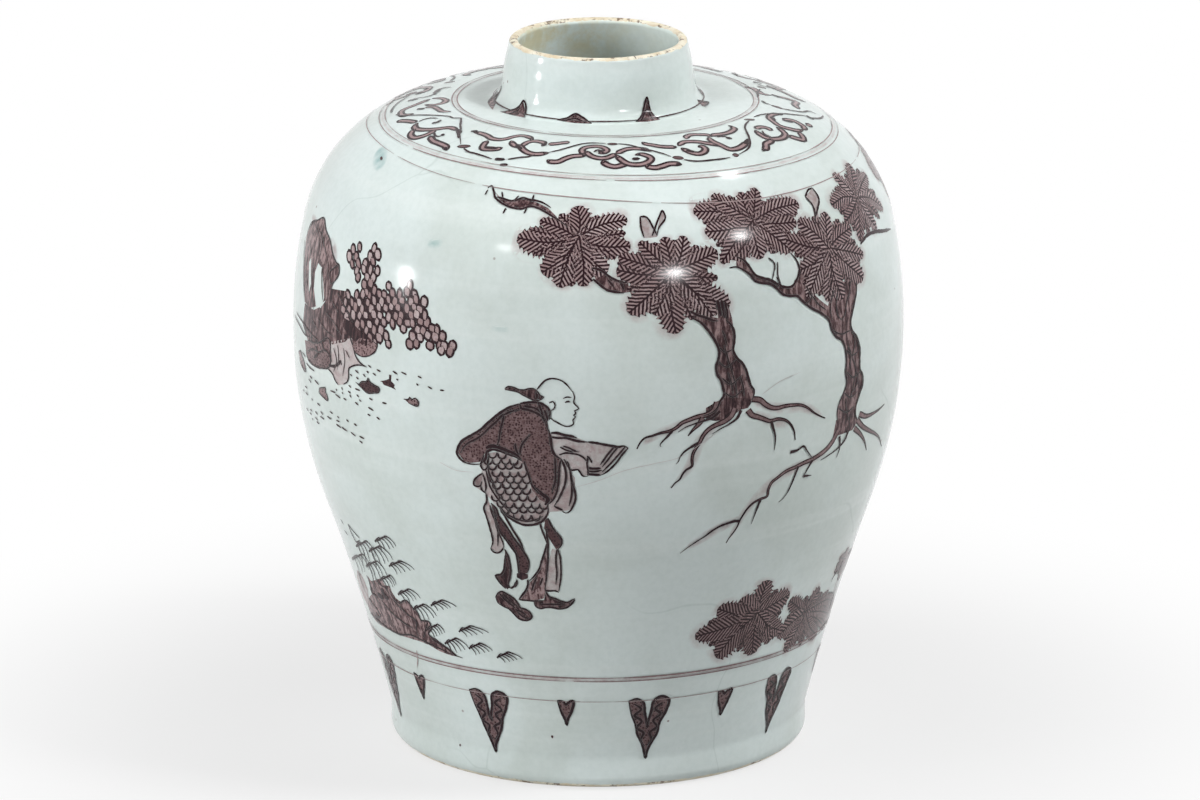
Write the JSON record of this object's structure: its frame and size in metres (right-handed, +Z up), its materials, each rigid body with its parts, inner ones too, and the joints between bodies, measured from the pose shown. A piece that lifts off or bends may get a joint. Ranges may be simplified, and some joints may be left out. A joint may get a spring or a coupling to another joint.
{
  "type": "vase",
  "caption": "Broad-shouldered vase on a low turned foot, with a short tapering neck and open mouth, built of luted thrown sections under a painted tin glaze.",
  "frame": {"origin": "on the turning axis, in the plane of the foot's contact face", "axes": "+Z up the turning axis to the mouth; the vase is round, and the painted walking figure faces -Y"},
  "size_m": [0.2254, 0.2254, 0.265],
  "materials": {
    "fired_clay": "bare buff earthenware, turned and worn",
    "slip": "fired joining slip, inside the wall",
    "outer_glaze": "glossy pale blue-green white tin glaze with purple-brown painting",
    "inner_glaze": "thinner grey-green white glaze"
  },
  "bodies": {
    "root": {"foot_ring": "fired_clay", "foot_slip": "slip", "lower_section": "fired_clay", "waist_slip": "slip", "middle_section": "fired_clay", "shoulder_slip": "slip", "shoulder_section": "fired_clay", "neck_slip": "slip", "neck": "fired_clay", "outer_glaze": "outer_glaze", "inner_glaze": "inner_glaze", "base_glaze": "inner_glaze"}
  },
  "joints": []
}
